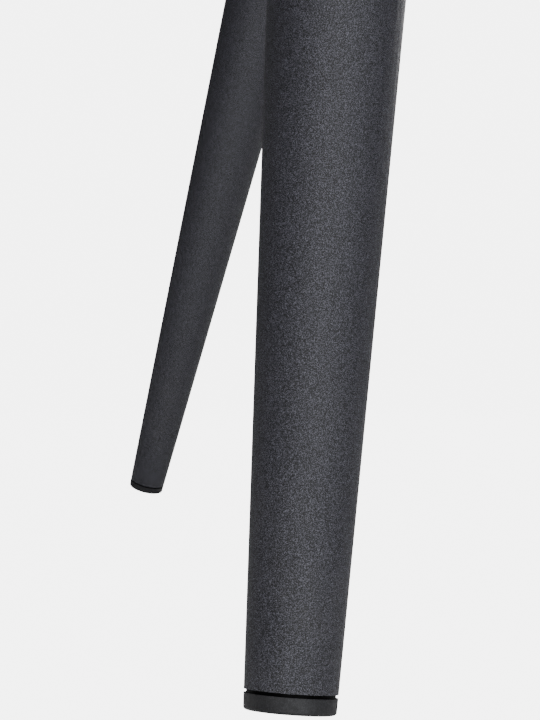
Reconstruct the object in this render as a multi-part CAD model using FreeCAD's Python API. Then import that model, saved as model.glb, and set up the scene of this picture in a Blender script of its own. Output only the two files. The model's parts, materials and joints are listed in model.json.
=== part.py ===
"""Three-legged field seat: a round swivel seat on a steel hub and three splayed conical steel legs.

Every leg is a rolled steel cone, widest at the hub, that stands on a screw-in levelling foot.
The front leg is the steeper one and the two rear legs are raked out behind the sitter.
Frame: +Z up, -Y is the front, X = 0 is the plane of symmetry, and the origin is on the floor
at the middle of the object's box. All sizes are in millimetres.
"""
import FreeCAD, Part
import math
import os
from FreeCAD import Placement, Rotation, Vector

UP = Vector(0, 0, 1)
TAU = 2 * math.pi

# ---- Fits -------------------------------------------------------------------------------
SLIP = 0.05            # between pieces that are pushed or screwed together
RUNNING = 0.10         # between pieces that turn or slide in each other
SOFT_GAP = 0.30        # between the cover and the foam, and under the board

# ---- Stance -----------------------------------------------------------------------------
FOOT_SPACING = 469.0   # side of the equal-sided triangle between the three feet
FRONT_SPLAY = 11.2     # degrees off vertical
REAR_SPLAY = 19.2      # degrees off vertical
REAR_HEADING = 20.5    # degrees that a rear leg's lean turns forward from sideways
HUB_HEIGHT = 500.0     # floor to the hub plate's underside
SEAT_SETBACK = 235.0   # front foot to the swivel axis, along Y

# ---- Legs -------------------------------------------------------------------------------
FOOT_DIAMETER = 18.0   # at the sole
TAPER = 0.0788         # growth of the leg's diameter for each millimetre of its length
LEG_WALL = 1.5
END_PLATE_THICKNESS = 5.0
END_BOSS_RADIUS = 11.0
END_BOSS_LENGTH = 10.0

# ---- Levelling feet ---------------------------------------------------------------------
PAD_THICKNESS = 3.15
PAD_EDGE_ROUND = 0.6
PAD_SLIT = 0.7         # between the pad and the leg's cut end, foot screwed home
STUD_RADIUS = 2.95     # M6
STUD_LENGTH = 30.0     # from the sole to the stud's tip
STUD_HEAD_RADIUS = 5.0
STUD_HEAD_THICKNESS = 1.6
PLUG_LENGTH = 22.0
PLUG_LIP_INSET = 0.35   # of the plug's lip from the leg's outside, under the leg's cut end
PLUG_WALL = 1.3        # round the nut
PLUG_FIN_THICKNESS = 1.6
PLUG_FINS = 4
NUT_WALL = 1.4
NUT_LENGTH = 9.0

# ---- Angled mounts between legs and hub ---------------------------------------------------
MOUNT_THIN_SIDE = 10.0
MOUNT_FLOOR = 5.0      # under the leg bolt's washer
LEG_BOLT_RADIUS = 5.0  # M10
LEG_BOLT_HEAD_RADIUS = 8.0
LEG_BOLT_HEAD_HEIGHT = 6.0
LEG_BOLT_SOCKET = 4.0  # hexagon socket's corner radius
LEG_BOLT_SOCKET_DEPTH = 3.5
LEG_BOLT_REACH = 12.0  # below the leg's top face
WASHER_RADIUS = 8.8
WASHER_THICKNESS = 2.0
MOUNT_SCREWS = 3
MOUNT_SCREW_CIRCLE = 20.0

# ---- Hub plate --------------------------------------------------------------------------
HUB_THICKNESS = 5.0
HUB_MARGIN = 6.0       # of plate round each mount
HUB_EDGE_ROUND = 1.0
HUB_CENTRE_HOLE = 17.0

# ---- Countersunk screws, M6 ---------------------------------------------------------------
SCREW_RADIUS = 3.0
SCREW_HEAD_RADIUS = 5.8
SCREW_HEAD_DEPTH = SCREW_HEAD_RADIUS - SCREW_RADIUS    # a 90 degree head
MOUNT_SCREW_LENGTH = 13.0
SWIVEL_SCREW_LENGTH = 14.0
DRIVE_RADIUS = 2.0
DRIVE_DEPTH = 1.8
HEX_NUT_RADIUS = 5.8   # across corners, halved
HEX_NUT_HEIGHT = 5.0

# ---- Swivel bearing ---------------------------------------------------------------------
SWIVEL_RADIUS = 70.0
SWIVEL_PLATE = 3.0
SWIVEL_GAP = 6.0       # between the two plates
SWIVEL_SCREWS = 4
SWIVEL_SCREW_CIRCLE = 61.0
RACE_RADIUS = 45.0
RACE_HALF_WIDTH = 6.0
BALL_RADIUS = 2.5
BALL_PLAY = 0.3        # between a ball and its groove
BALLS = 20
CAGE_HALF_WIDTH = 3.6
CAGE_THICKNESS = 1.2
CAGE_PLAY = 0.4        # between the cage and each race
KINGPIN_RADIUS = 6.0
KINGPIN_HEAD_RADIUS = 13.0
KINGPIN_HEAD_HEIGHT = 5.0
BUSH_WALL = 2.0
BUSH_FLANGE_RADIUS = 12.0
BUSH_FLANGE = 2.0
THRUST_WASHER_RADIUS = 13.0
THRUST_WASHER = 1.5
CIRCLIP_RADIUS = 8.5
CIRCLIP_THICKNESS = 1.2
CIRCLIP_GROOVE = 0.8   # depth in the kingpin
KINGPIN_END = 2.0      # beyond the circlip

# ---- Seat -------------------------------------------------------------------------------
BOARD_RADIUS = 172.0
BOARD_THICKNESS = 12.0
BOARD_CENTRE_HOLE = 17.0
TEE_NUT_RADIUS = 4.6
TEE_FLANGE_RADIUS = 9.5
TEE_FLANGE = 1.2
FOAM_HEIGHT = 50.0     # at the shoulder
FOAM_CROWN = 9.0       # rise from shoulder to middle
FOAM_BULGE = 8.0       # of the side, beyond the board
FOAM_SHOULDER = 15.0   # radius of the top edge
COVER_THICKNESS = 1.2
COVER_LIP = 26.0       # turned in under the board
WELT_RADIUS = 2.4
WELT_ANGLE = 35.0      # up the shoulder
DUST_CLOTH_RADIUS = 160.0
DUST_CLOTH_HOLE = 78.0
DUST_CLOTH_THICKNESS = 0.6
STAPLES = 28
STAPLE_CIRCLE = 154.0
STAPLE_SIZE = (11.0, 1.2, 0.7)


# ---- Levels that follow from the sizes above ------------------------------------------------
HUB_TOP = HUB_HEIGHT + HUB_THICKNESS
LOWER_PLATE_TOP = HUB_TOP + SWIVEL_PLATE
UPPER_PLATE_BOTTOM = LOWER_PLATE_TOP + SWIVEL_GAP
BOARD_BOTTOM = UPPER_PLATE_BOTTOM + SWIVEL_PLATE
BOARD_TOP = BOARD_BOTTOM + BOARD_THICKNESS
BALL_LEVEL = LOWER_PLATE_TOP + SWIVEL_GAP / 2
RACE_HEIGHT = (SWIVEL_GAP - CAGE_THICKNESS) / 2 - CAGE_PLAY
FOOT_RADIUS = FOOT_DIAMETER / 2
SEAT_RADIUS = BOARD_RADIUS + FOAM_BULGE + SOFT_GAP + COVER_THICKNESS
LIP_BOTTOM = BOARD_BOTTOM - SOFT_GAP - COVER_THICKNESS
DUST_CLOTH_TOP = LIP_BOTTOM - SOFT_GAP
DUST_CLOTH_BOTTOM = DUST_CLOTH_TOP - DUST_CLOTH_THICKNESS

FRONT_LEAN = Vector(0, math.sin(math.radians(FRONT_SPLAY)), math.cos(math.radians(FRONT_SPLAY)))
REAR_LEAN = Vector(
    math.sin(math.radians(REAR_SPLAY)) * math.cos(math.radians(REAR_HEADING)),
    -math.sin(math.radians(REAR_SPLAY)) * math.sin(math.radians(REAR_HEADING)),
    math.cos(math.radians(REAR_SPLAY)),
)


def sole_reach(axis, along):
    """How far the tilted round sole reaches from its centre along a level direction."""
    return FOOT_RADIUS * math.sqrt(1 - axis.dot(along) ** 2)


# The front foot's place puts the origin in the middle of the object's box.
FOOT_DEPTH = FOOT_SPACING * math.cos(math.radians(30))
FRONT_REACH = sole_reach(FRONT_LEAN, Vector(0, 1, 0))
BACK_REACH = max(FOOT_DEPTH + sole_reach(REAR_LEAN, Vector(0, 1, 0)), SEAT_SETBACK + SEAT_RADIUS)
FRONT_FOOT_Y = -(BACK_REACH - FRONT_REACH) / 2
SWIVEL_AXIS = Vector(0, FRONT_FOOT_Y + SEAT_SETBACK, 0)


class Leg:
    """One leg's line: the centre of its sole, its axis, and where it ends under the hub."""

    def __init__(self, name, x, y, axis):
        self.name = name
        self.axis = axis
        tilt = math.sqrt(1 - axis.z ** 2)
        # The sole's rounded edge rests on the floor.
        self.foot = Vector(x, y, (FOOT_RADIUS - PAD_EDGE_ROUND) * tilt + PAD_EDGE_ROUND * (1 - axis.z))
        to_hub = (HUB_HEIGHT - self.foot.z) / axis.z     # along the axis, to the hub's underside
        self.hub_point = self.foot + axis * to_hub
        # The leg stops where its top rim leaves the mount's thin side.
        slope = tilt / axis.z
        self.length = (to_hub - MOUNT_THIN_SIDE / axis.z - FOOT_RADIUS * slope) / (1 + TAPER / 2 * slope)
        self.top_radius = leg_radius(self.length)
        self.mount_length = to_hub - self.length
        self.placement = Placement(self.foot, Rotation(UP, axis))

    def stand(self, shape):
        """Moves a shape built about +Z, with the sole at z = 0, onto this leg."""
        shape = shape.copy()
        shape.Placement = self.placement.multiply(shape.Placement)
        return shape


def leg_radius(along):
    """The leg's outer radius at a distance from the sole."""
    return FOOT_RADIUS + TAPER / 2 * along


def bore_radius(along):
    """The radius inside the leg's wall."""
    return leg_radius(along) - LEG_WALL


def cylinder(radius, low, high, x=0, y=0):
    return Part.makeCylinder(radius, high - low, Vector(x, y, low), UP)


def cone(low_radius, high_radius, low, high, x=0, y=0):
    return Part.makeCone(low_radius, high_radius, high - low, Vector(x, y, low), UP)


def turned(edges):
    """A solid turned about Z from a closed outline in the XZ plane."""
    solid = Part.Face(Part.Wire(edges)).revolve(Vector(0, 0, 0), UP, 360)
    if solid.Volume < 0:
        solid.reverse()
    return solid


def tapered_plug(low, high, clearance):
    """A solid that fills the leg's bore between two stations."""
    return cone(bore_radius(low) - clearance, bore_radius(high) - clearance, low, high)


def hexagon(radius, low, high):
    corners = [Vector(radius * math.cos(TAU * i / 6), radius * math.sin(TAU * i / 6), low) for i in range(6)]
    return Part.Face(Part.makePolygon(corners + corners[:1])).extrude(Vector(0, 0, high - low))


def around(count, radius, start=0.0, centre=Vector(0, 0, 0)):
    """Evenly spaced points on a level circle."""
    turns = [start + TAU * i / count for i in range(count)]
    return [
        centre + Vector(radius * math.cos(turn), radius * math.sin(turn), 0)
        for turn in turns
    ]


def save(name, *solids):
    """Writes one node, of one solid or a group of separate ones."""
    shape = solids[0] if len(solids) == 1 else Part.makeCompound(list(solids))
    shape.exportStep(os.path.join("parts", name + ".step"))


# ---- Legs and feet ------------------------------------------------------------------------
def leg_shell(leg):
    low = PAD_THICKNESS + PAD_SLIT
    outer = cone(leg_radius(low), leg_radius(leg.length), low, leg.length)
    return outer.cut(tapered_plug(low, leg.length, 0))


def leg_end_plate(leg):
    low = leg.length - END_PLATE_THICKNESS
    plate = tapered_plug(low, leg.length, SLIP)
    boss = cylinder(END_BOSS_RADIUS, low - END_BOSS_LENGTH, low)
    return plate.fuse(boss).removeSplitter().cut(cylinder(LEG_BOLT_RADIUS, low - END_BOSS_LENGTH, leg.length))


def foot_pad():
    """A disc with a rounded sole edge, moulded round the stud's head."""
    outline = [
        (0, 0),
        (FOOT_RADIUS - PAD_EDGE_ROUND, 0),
        (FOOT_RADIUS, PAD_EDGE_ROUND),
        (leg_radius(PAD_THICKNESS), PAD_THICKNESS),
        (0, PAD_THICKNESS),
    ]
    corners = [Vector(r, 0, z) for r, z in outline]
    bend = PAD_EDGE_ROUND * (1 - math.sqrt(0.5))
    edges = [
        Part.makeLine(corners[0], corners[1]),
        Part.Arc(corners[1], Vector(FOOT_RADIUS - bend, 0, bend), corners[2]).toShape(),
        Part.makeLine(corners[2], corners[3]),
        Part.makeLine(corners[3], corners[4]),
        Part.makeLine(corners[4], corners[0]),
    ]
    disc = turned(edges)
    pocket_floor = PAD_THICKNESS - STUD_HEAD_THICKNESS
    return disc.cut(cylinder(STUD_HEAD_RADIUS + SLIP, pocket_floor, PAD_THICKNESS + 1))


def foot_stud():
    low = PAD_THICKNESS - STUD_HEAD_THICKNESS
    head = cylinder(STUD_HEAD_RADIUS, low, PAD_THICKNESS)
    chamfer = STUD_RADIUS / 4
    shank = cylinder(STUD_RADIUS, PAD_THICKNESS, STUD_LENGTH - chamfer)
    tip = cone(STUD_RADIUS, STUD_RADIUS - chamfer, STUD_LENGTH - chamfer, STUD_LENGTH)
    return head.fuse([shank, tip]).removeSplitter()


NUT_RADIUS = STUD_RADIUS + NUT_WALL
PLUG_CORE_RADIUS = NUT_RADIUS + PLUG_WALL
PLUG_LOW = PAD_THICKNESS + PAD_SLIT
PLUG_HIGH = PLUG_LOW + PLUG_LENGTH


def foot_plug():
    """A finned nylon plug that holds the nut in the leg's end."""
    core = cylinder(PLUG_CORE_RADIUS, PLUG_LOW, PLUG_HIGH)
    lip = cylinder(FOOT_RADIUS - PLUG_LIP_INSET, PAD_THICKNESS, PLUG_LOW)    # the pad stops against it
    pitch = (PLUG_LENGTH - PLUG_FIN_THICKNESS) / (PLUG_FINS - 1)
    fin_starts = [PLUG_LOW + pitch * i for i in range(PLUG_FINS)]
    fins = [tapered_plug(low, low + PLUG_FIN_THICKNESS, SLIP) for low in fin_starts]
    plug = core.fuse(fins + [lip]).removeSplitter()
    hollow = cylinder(STUD_RADIUS + RUNNING, PAD_THICKNESS, PLUG_HIGH)
    return plug.cut(hollow).cut(cylinder(NUT_RADIUS + SLIP, PLUG_HIGH - NUT_LENGTH, PLUG_HIGH))


def foot_nut():
    return cylinder(NUT_RADIUS, PLUG_HIGH - NUT_LENGTH, PLUG_HIGH).cut(
        cylinder(STUD_RADIUS + RUNNING, PLUG_HIGH - NUT_LENGTH, PLUG_HIGH)
    )


# ---- Mounts, bolts and screws ---------------------------------------------------------------
def countersunk_screw(length, head_up=True):
    """Head face at z = 0, with the shank below it, or above it for a screw driven upwards."""
    head = cone(SCREW_RADIUS, SCREW_HEAD_RADIUS, -SCREW_HEAD_DEPTH, 0)
    shank = cylinder(SCREW_RADIUS, -length, -SCREW_HEAD_DEPTH)
    screw = head.fuse(shank).removeSplitter().cut(hexagon(DRIVE_RADIUS, -DRIVE_DEPTH, 0))
    if not head_up:
        screw.rotate(Vector(0, 0, 0), Vector(1, 0, 0), 180)
    return screw


def countersink(low, high, x, y, head_up=True):
    """The hole for a countersunk screw, through a plate between two levels."""
    through = cylinder(SCREW_RADIUS + SLIP, low, high, x, y)
    if head_up:
        return through.fuse(
            cone(SCREW_RADIUS + SLIP, SCREW_HEAD_RADIUS + SLIP, high - SCREW_HEAD_DEPTH, high, x, y)
        )
    return through.fuse(
        cone(SCREW_HEAD_RADIUS + SLIP, SCREW_RADIUS + SLIP, low, low + SCREW_HEAD_DEPTH, x, y)
    )


def mount_screw_points(leg):
    """The hub screws stand round the leg's line, with one on the outer side."""
    outward = math.atan2(-leg.axis.y, -leg.axis.x)
    centre = Vector(leg.hub_point.x, leg.hub_point.y, 0)
    return around(MOUNT_SCREWS, MOUNT_SCREW_CIRCLE, outward, centre)


def angled_mount(leg):
    """A cast wedge: square to the leg below, level under the hub plate above."""
    reach = leg.mount_length + 2 * leg.top_radius
    body = leg.stand(cylinder(leg.top_radius, leg.length, leg.length + reach))
    above = Part.makeBox(1000, 1000, 500, Vector(-500, -500, HUB_HEIGHT))
    body = body.cut(above)
    bolt_hole = leg.stand(cylinder(LEG_BOLT_RADIUS + 0.5, leg.length, leg.length + reach))
    well = leg.stand(cylinder(WASHER_RADIUS + 0.4, leg.length + MOUNT_FLOOR, leg.length + reach))
    body = body.cut(bolt_hole).cut(well)
    bottom = HUB_TOP - MOUNT_SCREW_LENGTH - 0.5
    for p in mount_screw_points(leg):
        body = body.cut(cylinder(SCREW_RADIUS + SLIP, bottom, HUB_HEIGHT, p.x, p.y))
    return body


def leg_bolt(leg):
    seat = leg.length + MOUNT_FLOOR + WASHER_THICKNESS
    head = cylinder(LEG_BOLT_HEAD_RADIUS, seat, seat + LEG_BOLT_HEAD_HEIGHT)
    shank = cylinder(LEG_BOLT_RADIUS - SLIP, leg.length - LEG_BOLT_REACH, seat)
    top = seat + LEG_BOLT_HEAD_HEIGHT
    bolt = head.fuse(shank).removeSplitter().cut(hexagon(LEG_BOLT_SOCKET, top - LEG_BOLT_SOCKET_DEPTH, top))
    return leg.stand(bolt)


def leg_washer(leg):
    low = leg.length + MOUNT_FLOOR
    ring = cylinder(WASHER_RADIUS, low, low + WASHER_THICKNESS)
    return leg.stand(ring.cut(cylinder(LEG_BOLT_RADIUS + 0.2, low, low + WASHER_THICKNESS)))


def hub_plate(legs):
    """A plate over the three mounts, its corners rounded about them."""
    corners = [Vector(leg.hub_point.x, leg.hub_point.y, HUB_HEIGHT) for leg in legs]
    margin = max(leg.top_radius / leg.axis.z for leg in legs) + HUB_MARGIN
    triangle = Part.Face(Part.makePolygon(corners + corners[:1]))
    plate = triangle.makeOffset2D(margin, 0).extrude(Vector(0, 0, HUB_THICKNESS))
    plate = plate.makeFillet(HUB_EDGE_ROUND, [e for e in plate.Edges if abs(e.BoundBox.ZLength) < 1e-6])
    holes = [cylinder(HUB_CENTRE_HOLE, HUB_HEIGHT, HUB_TOP, SWIVEL_AXIS.x, SWIVEL_AXIS.y)]
    for leg in legs:
        holes += [countersink(HUB_HEIGHT, HUB_TOP, p.x, p.y) for p in mount_screw_points(leg)]
    for p in lower_screw_points():
        holes.append(cylinder(SCREW_RADIUS + SLIP, HUB_HEIGHT, HUB_TOP, p.x, p.y))
    return plate.cut(holes)


# ---- Swivel bearing -------------------------------------------------------------------------
def lower_screw_points():
    return around(SWIVEL_SCREWS, SWIVEL_SCREW_CIRCLE, TAU / 8, SWIVEL_AXIS)


def upper_screw_points():
    return around(SWIVEL_SCREWS, SWIVEL_SCREW_CIRCLE, 0, SWIVEL_AXIS)


def on_swivel_axis(shape):
    shape = shape.copy()
    shape.translate(SWIVEL_AXIS)
    return shape


def race(low, high):
    """A raised ring with half of the ball groove in it."""
    ring = cylinder(RACE_RADIUS + RACE_HALF_WIDTH, low, high).cut(
        cylinder(RACE_RADIUS - RACE_HALF_WIDTH, low, high)
    )
    return ring


def ball_groove():
    return Part.makeTorus(RACE_RADIUS, BALL_RADIUS + BALL_PLAY, Vector(0, 0, BALL_LEVEL), UP)


def swivel_lower_plate():
    plate = cylinder(SWIVEL_RADIUS, HUB_TOP, LOWER_PLATE_TOP).fuse(
        race(LOWER_PLATE_TOP, LOWER_PLATE_TOP + RACE_HEIGHT)
    )
    plate = plate.removeSplitter().cut(ball_groove())
    plate = on_swivel_axis(plate.cut(cylinder(KINGPIN_RADIUS + SLIP, HUB_TOP, LOWER_PLATE_TOP)))
    return plate.cut([countersink(HUB_TOP, LOWER_PLATE_TOP, p.x, p.y) for p in lower_screw_points()])


def swivel_upper_plate():
    plate = cylinder(SWIVEL_RADIUS, UPPER_PLATE_BOTTOM, BOARD_BOTTOM).fuse(
        race(UPPER_PLATE_BOTTOM - RACE_HEIGHT, UPPER_PLATE_BOTTOM)
    )
    plate = plate.removeSplitter().cut(ball_groove())
    bush_hole = cylinder(KINGPIN_RADIUS + BUSH_WALL + SLIP, UPPER_PLATE_BOTTOM, BOARD_BOTTOM)
    plate = on_swivel_axis(plate.cut(bush_hole))
    return plate.cut(
        [
            countersink(UPPER_PLATE_BOTTOM, BOARD_BOTTOM, p.x, p.y, head_up=False)
            for p in upper_screw_points()
        ]
    )


def balls():
    centre = SWIVEL_AXIS + Vector(0, 0, BALL_LEVEL)
    return [Part.makeSphere(BALL_RADIUS, p) for p in around(BALLS, RACE_RADIUS, 0, centre)]


def ball_cage():
    low = BALL_LEVEL - CAGE_THICKNESS / 2
    high = BALL_LEVEL + CAGE_THICKNESS / 2
    ring = cylinder(RACE_RADIUS + CAGE_HALF_WIDTH, low, high).cut(
        cylinder(RACE_RADIUS - CAGE_HALF_WIDTH, low, high)
    )
    pockets = [cylinder(BALL_RADIUS + SLIP, low, high, p.x, p.y) for p in around(BALLS, RACE_RADIUS)]
    return on_swivel_axis(ring.cut(pockets))


BUSH_TOP = BOARD_BOTTOM + BUSH_FLANGE
THRUST_LOW = BUSH_TOP + RUNNING
CIRCLIP_LOW = THRUST_LOW + THRUST_WASHER + SLIP


def kingpin():
    """A shouldered pin whose head sits in the hub's hole; a circlip holds the seat down on it."""
    head = cylinder(KINGPIN_HEAD_RADIUS, HUB_TOP - KINGPIN_HEAD_HEIGHT, HUB_TOP)
    end = CIRCLIP_LOW + CIRCLIP_THICKNESS + KINGPIN_END
    pin = head.fuse(cylinder(KINGPIN_RADIUS, HUB_TOP, end)).removeSplitter()
    groove = cylinder(KINGPIN_RADIUS + 1, CIRCLIP_LOW - SLIP, CIRCLIP_LOW + CIRCLIP_THICKNESS + SLIP)
    groove = groove.cut(
        cylinder(KINGPIN_RADIUS - CIRCLIP_GROOVE, CIRCLIP_LOW - SLIP, CIRCLIP_LOW + CIRCLIP_THICKNESS + SLIP)
    )
    return on_swivel_axis(pin.cut(groove))


def swivel_bush():
    bush = cylinder(KINGPIN_RADIUS + BUSH_WALL, UPPER_PLATE_BOTTOM, BOARD_BOTTOM).fuse(
        cylinder(BUSH_FLANGE_RADIUS, BOARD_BOTTOM, BUSH_TOP)
    )
    bore = cylinder(KINGPIN_RADIUS + RUNNING / 2, UPPER_PLATE_BOTTOM, BUSH_TOP)
    return on_swivel_axis(bush.removeSplitter().cut(bore))


def thrust_washer():
    ring = cylinder(THRUST_WASHER_RADIUS, THRUST_LOW, THRUST_LOW + THRUST_WASHER)
    return on_swivel_axis(ring.cut(cylinder(KINGPIN_RADIUS + SLIP, THRUST_LOW, THRUST_LOW + THRUST_WASHER)))


def circlip():
    """An open ring in the kingpin's groove."""
    high = CIRCLIP_LOW + CIRCLIP_THICKNESS
    inner = KINGPIN_RADIUS - CIRCLIP_GROOVE + SLIP
    ring = cylinder(CIRCLIP_RADIUS, CIRCLIP_LOW, high).cut(cylinder(inner, CIRCLIP_LOW, high))
    gap = Part.makeBox(CIRCLIP_RADIUS, inner, CIRCLIP_THICKNESS, Vector(0, -inner / 2, CIRCLIP_LOW))
    return on_swivel_axis(ring.cut(gap))


def lower_screws():
    return [moved(countersunk_screw(SWIVEL_SCREW_LENGTH), p, LOWER_PLATE_TOP) for p in lower_screw_points()]


def lower_nuts():
    nuts = []
    for p in lower_screw_points():
        nut = hexagon(HEX_NUT_RADIUS, HUB_HEIGHT - HEX_NUT_HEIGHT, HUB_HEIGHT)
        nut = nut.cut(cylinder(SCREW_RADIUS + SLIP, HUB_HEIGHT - HEX_NUT_HEIGHT, HUB_HEIGHT))
        nuts.append(moved(nut, p, 0))
    return nuts


def upper_screws():
    return [
        moved(countersunk_screw(SWIVEL_SCREW_LENGTH, head_up=False), p, UPPER_PLATE_BOTTOM)
        for p in upper_screw_points()
    ]


def moved(shape, point, level):
    shape = shape.copy()
    shape.translate(Vector(point.x, point.y, level))
    return shape


# ---- Seat -----------------------------------------------------------------------------------
def seat_board():
    board = on_swivel_axis(
        cylinder(BOARD_RADIUS, BOARD_BOTTOM, BOARD_TOP).cut(
            cylinder(BOARD_CENTRE_HOLE, BOARD_BOTTOM, BOARD_TOP)
        )
    )
    holes = []
    for p in upper_screw_points():
        holes.append(cylinder(TEE_NUT_RADIUS + SLIP, BOARD_BOTTOM, BOARD_TOP, p.x, p.y))
        holes.append(cylinder(TEE_FLANGE_RADIUS + SLIP, BOARD_TOP - TEE_FLANGE - SLIP, BOARD_TOP, p.x, p.y))
    return board.cut(holes)


def tee_nuts():
    nuts = []
    for p in upper_screw_points():
        flange = cylinder(TEE_FLANGE_RADIUS, BOARD_TOP - TEE_FLANGE, BOARD_TOP)
        barrel = cylinder(TEE_NUT_RADIUS, BOARD_BOTTOM + 2, BOARD_TOP - TEE_FLANGE)
        nut = flange.fuse(barrel).removeSplitter()
        nuts.append(moved(nut.cut(cylinder(SCREW_RADIUS + SLIP, BOARD_BOTTOM, BOARD_TOP)), p, 0))
    return nuts


def cushion_form(grow, low):
    """The foam's round form, grown outwards by a thickness, with a flat bottom at a level."""
    base = BOARD_RADIUS + grow
    shoulder_level = BOARD_TOP + FOAM_HEIGHT
    side_top = Vector(base, 0, shoulder_level - FOAM_SHOULDER)
    side_low = Vector(base, 0, BOARD_TOP)
    side_out = Vector(base + FOAM_BULGE, 0, (side_top.z + side_low.z) / 2)
    bend = (FOAM_SHOULDER + grow) * (1 - math.sqrt(0.5))
    top_edge = Vector(BOARD_RADIUS - FOAM_SHOULDER, 0, shoulder_level + grow)
    round_middle = Vector(base - bend, 0, shoulder_level + grow - bend)
    crown = Vector(0, 0, shoulder_level + FOAM_CROWN + grow)
    dome = (top_edge.x ** 2 + FOAM_CROWN ** 2) / (2 * FOAM_CROWN)
    half = math.asin(top_edge.x / dome) / 2
    crown_middle = Vector(dome * math.sin(half), 0, crown.z - dome * (1 - math.cos(half)))
    edges = [
        Part.makeLine(Vector(0, 0, low), Vector(base, 0, low)),
        Part.Arc(side_low, side_out, side_top).toShape(),
        Part.Arc(side_top, round_middle, top_edge).toShape(),
        Part.Arc(top_edge, crown_middle, crown).toShape(),
        Part.makeLine(crown, Vector(0, 0, low)),
    ]
    if side_low.z - low > 1e-6:
        edges.insert(1, Part.makeLine(Vector(base, 0, low), side_low))
    return turned(edges)


def seat_foam():
    return on_swivel_axis(cushion_form(0, BOARD_TOP))


def welt(radius):
    """The cord's ring, lying on the foam's shoulder in the gap between the cover's panels."""
    reach = FOAM_SHOULDER + WELT_RADIUS + SOFT_GAP
    angle = math.radians(WELT_ANGLE)
    circle = BOARD_RADIUS - FOAM_SHOULDER + reach * math.cos(angle)
    level = BOARD_TOP + FOAM_HEIGHT - FOAM_SHOULDER + reach * math.sin(angle)
    return Part.makeTorus(circle, radius, Vector(0, 0, level), UP)


def seat_cover():
    """The cover's two panels: the top, and the band that turns in under the board."""
    outer = cushion_form(SOFT_GAP + COVER_THICKNESS, LIP_BOTTOM)
    inner = cushion_form(SOFT_GAP, BOARD_BOTTOM - SOFT_GAP)
    opening = cylinder(BOARD_RADIUS - COVER_LIP, LIP_BOTTOM - 1, BOARD_TOP)
    panels = outer.cut(inner).cut(opening).cut(welt(WELT_RADIUS + SOFT_GAP)).Solids
    panels.sort(key=lambda s: s.BoundBox.ZMax)
    return [on_swivel_axis(s) for s in panels]


def dust_cloth():
    ring = cylinder(DUST_CLOTH_RADIUS, DUST_CLOTH_BOTTOM, DUST_CLOTH_TOP)
    return on_swivel_axis(ring.cut(cylinder(DUST_CLOTH_HOLE, DUST_CLOTH_BOTTOM, DUST_CLOTH_TOP)))


def staples():
    length, width, height = STAPLE_SIZE
    made = []
    for i in range(STAPLES):
        angle = 360 * i / STAPLES
        low = Vector(STAPLE_CIRCLE - width / 2, -length / 2, DUST_CLOTH_BOTTOM - height)
        staple = Part.makeBox(width, length, height, low)
        staple.rotate(Vector(0, 0, 0), UP, angle)
        made.append(on_swivel_axis(staple))
    return made


def main():
    os.makedirs("parts", exist_ok=True)
    half = FOOT_SPACING / 2
    back = FRONT_FOOT_Y + FOOT_DEPTH
    legs = [
        Leg("front", 0, FRONT_FOOT_Y, FRONT_LEAN),
        Leg("rear_left", -half, back, REAR_LEAN),
        Leg("rear_right", half, back, Vector(-REAR_LEAN.x, REAR_LEAN.y, REAR_LEAN.z)),
    ]
    for leg in legs:
        save(f"leg_{leg.name}", leg.stand(leg_shell(leg)))
        save(f"end_plate_{leg.name}", leg.stand(leg_end_plate(leg)))
        save(f"angled_mount_{leg.name}", angled_mount(leg))
        save(f"foot_pad_{leg.name}", leg.stand(foot_pad()))
        save(f"foot_stud_{leg.name}", leg.stand(foot_stud()))
        save(f"foot_plug_{leg.name}", leg.stand(foot_plug()))
        save(f"foot_nut_{leg.name}", leg.stand(foot_nut()))
        save(f"leg_bolt_{leg.name}", leg_bolt(leg))
        print(leg.name, "sole", leg.foot, "axis", leg.axis, "length", round(leg.length, 2))
    save("leg_bolt_washers", *[leg_washer(leg) for leg in legs])
    screws = [
        moved(countersunk_screw(MOUNT_SCREW_LENGTH), p, HUB_TOP)
        for leg in legs for p in mount_screw_points(leg)
    ]
    save("mount_screws", *screws)
    save("hub_plate", hub_plate(legs))

    save("swivel_lower_plate", swivel_lower_plate())
    save("swivel_upper_plate", swivel_upper_plate())
    save("swivel_balls", *balls())
    save("ball_cage", ball_cage())
    save("kingpin", kingpin())
    save("swivel_bush", swivel_bush())
    save("thrust_washer", thrust_washer())
    save("circlip", circlip())
    save("swivel_lower_screws", *lower_screws())
    save("swivel_lower_nuts", *lower_nuts())
    save("swivel_upper_screws", *upper_screws())

    save("seat_board", seat_board())
    save("tee_nuts", *tee_nuts())
    save("seat_foam", seat_foam())
    band, top = seat_cover()
    save("cover_band", band)
    save("cover_top", top)
    save("seat_welt", on_swivel_axis(welt(WELT_RADIUS)))
    save("dust_cloth", dust_cloth())
    save("staples", *staples())
    print("swivel axis", SWIVEL_AXIS)


main()
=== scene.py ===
"""Looks for the three-legged field seat: powder-coated conical legs, a steel hub and a canvas swivel seat."""
import json
import math

import bpy
import bmesh
import numpy as np
from mathutils import Matrix, Vector
from mathutils.bvhtree import BVHTree


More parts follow.
